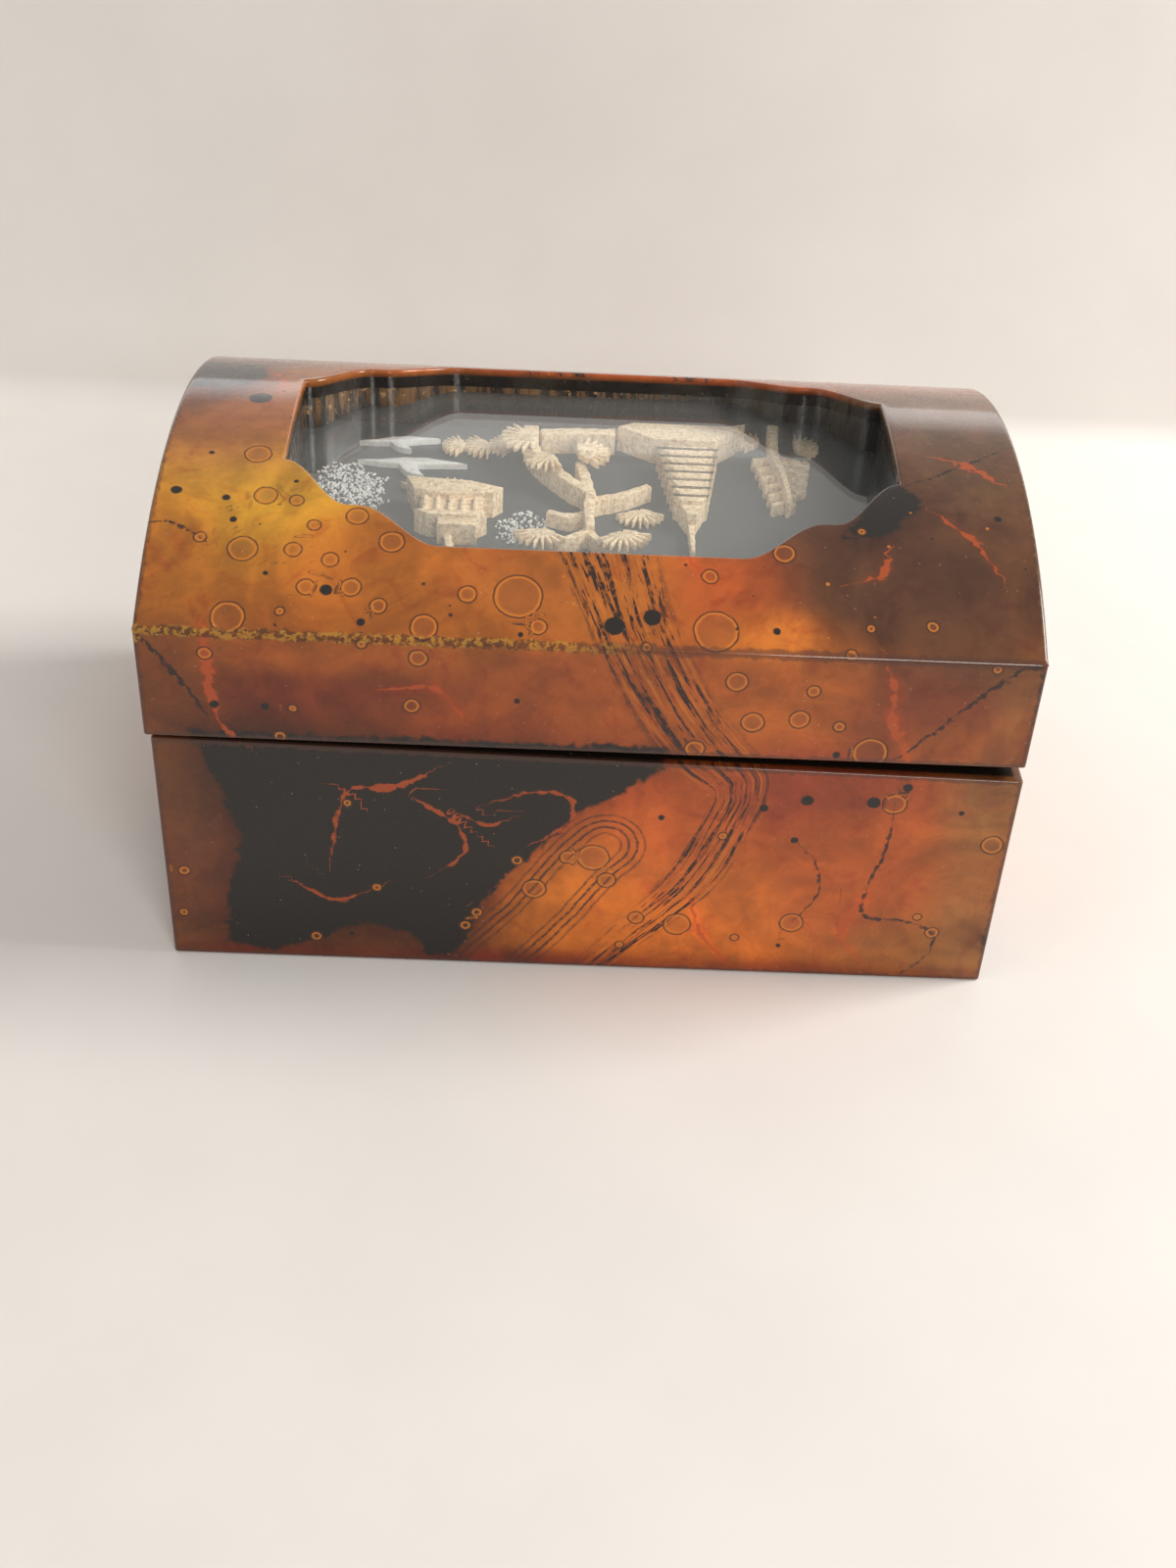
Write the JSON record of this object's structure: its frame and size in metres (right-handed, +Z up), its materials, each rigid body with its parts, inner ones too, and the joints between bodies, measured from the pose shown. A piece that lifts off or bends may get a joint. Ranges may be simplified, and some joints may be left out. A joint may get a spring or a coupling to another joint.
{
  "type": "trinket box",
  "caption": "Arched-lid trinket box in marbled lacquer; the lid hinges at the back and carries a glazed picture carved in cork under a scalloped window.",
  "frame": {"origin": "centre of the base's underside, on the table", "axes": "+X to the right along the width, +Y to the hinged back, +Z up; the front faces -Y"},
  "size_m": [0.1712, 0.116, 0.0975],
  "materials": {
    "lacquer": "marbled amber, brown and black lacquer, high gloss with fine scratches",
    "black_lacquer": "black lacquer, gloss",
    "velvet": "deep red velvet, short pile",
    "glass": "clear flat glass, dusty",
    "backing": "matt slate black board",
    "cork": "knife-carved cream cork, matt",
    "feather": "white pith, matt",
    "brass": "aged brass, satin"
  },
  "bodies": {
    "base": {"base_front_board": "lacquer", "base_back_board": "lacquer", "base_left_end": "lacquer", "base_right_end": "lacquer", "base_floor_board": "black_lacquer", "base_velvet_pad": "velvet", "lining_front": "velvet", "lining_back": "velvet", "lining_left": "velvet", "lining_right": "velvet", "hinge_leaf_base_left": "brass", "hinge_leaf_base_right": "brass", "hinge_pin_left": "brass", "hinge_pin_right": "brass", "base_hinge_screws": "brass"},
    "lid": {"lid_front_rail": "lacquer", "lid_back_rail": "lacquer", "lid_left_end": "lacquer", "lid_right_end": "lacquer", "lid_dome": "lacquer", "window_surround": "black_lacquer", "window_glass": "glass", "picture_backing": "backing", "picture_strip_front": "black_lacquer", "picture_strip_back": "black_lacquer", "picture_strip_left": "black_lacquer", "picture_strip_right": "black_lacquer", "carved_pagoda": "cork", "carved_landing": "cork", "carved_bridge": "cork", "carved_tree": "cork", "carved_foliage": "cork", "carved_pavilion": "cork", "carved_cranes": "feather", "carved_small_tree": "cork", "carved_blossom": "feather", "lid_velvet_pad": "velvet", "hinge_leaf_lid_left": "brass", "hinge_leaf_lid_right": "brass", "lid_hinge_screws": "brass"}
  },
  "joints": [
    {"name": "lid_hinge", "type": "hinge", "parent": "base", "child": "lid", "pos_m": [0, 0.0558, 0.0558], "axis": [-1, 0, 0], "range_deg": [0, 100]}
  ]
}
